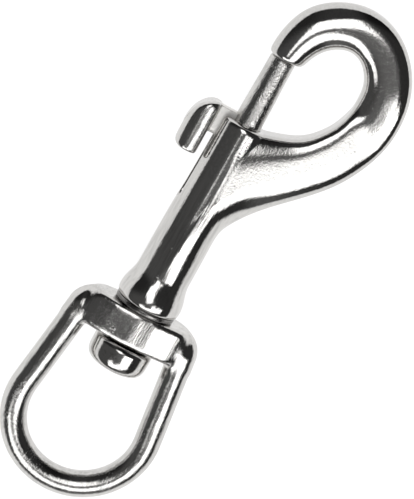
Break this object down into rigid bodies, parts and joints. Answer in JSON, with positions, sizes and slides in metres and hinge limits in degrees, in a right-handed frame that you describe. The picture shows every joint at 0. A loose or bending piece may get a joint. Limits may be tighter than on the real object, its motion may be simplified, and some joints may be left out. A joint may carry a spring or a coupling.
{
  "type": "swivel eye bolt snap",
  "caption": "Polished stainless snap hook with a sprung sliding bolt, thumb lug and swivelling eye, for joining a rope or halyard to a ring.",
  "frame": {"origin": "bearing point at the bottom of the eye's opening, on the barrel's axis", "axes": "+X along the barrel from the eye to the hook, the hook bends in the XY plane with its bowl towards -Y, and +Z is across the snap, which lies flat"},
  "size_m": [0.1199, 0.0442, 0.0138],
  "materials": {
    "polished_casting": "polished",
    "polished_rod": "polished",
    "polished_lug": "polished",
    "spring_wire": "satin",
    "polished_stud": "polished",
    "dark_washer": "satin",
    "polished_eye": "polished"
  },
  "bodies": {
    "barrel": {"hook_body": "polished_casting", "return_spring": "spring_wire", "swivel_stud": "polished_stud", "thrust_washer": "dark_washer"},
    "bolt": {"bolt": "polished_rod", "thumb_lug": "polished_lug"},
    "eye": {"swivel_eye": "polished_eye"}
  },
  "joints": [
    {"name": "bolt_slide", "type": "slide", "parent": "barrel", "child": "bolt", "axis": [-1, 0, 0], "range_m": [0, 0.0144], "stiffness_N_per_m": 400, "springref_m": -0.02, "deforming": ["return_spring"]},
    {"name": "eye_swivel", "type": "hinge", "parent": "barrel", "child": "eye", "pos_m": [0.034, 0, 0], "axis": [1, 0, 0], "continuous": true}
  ]
}
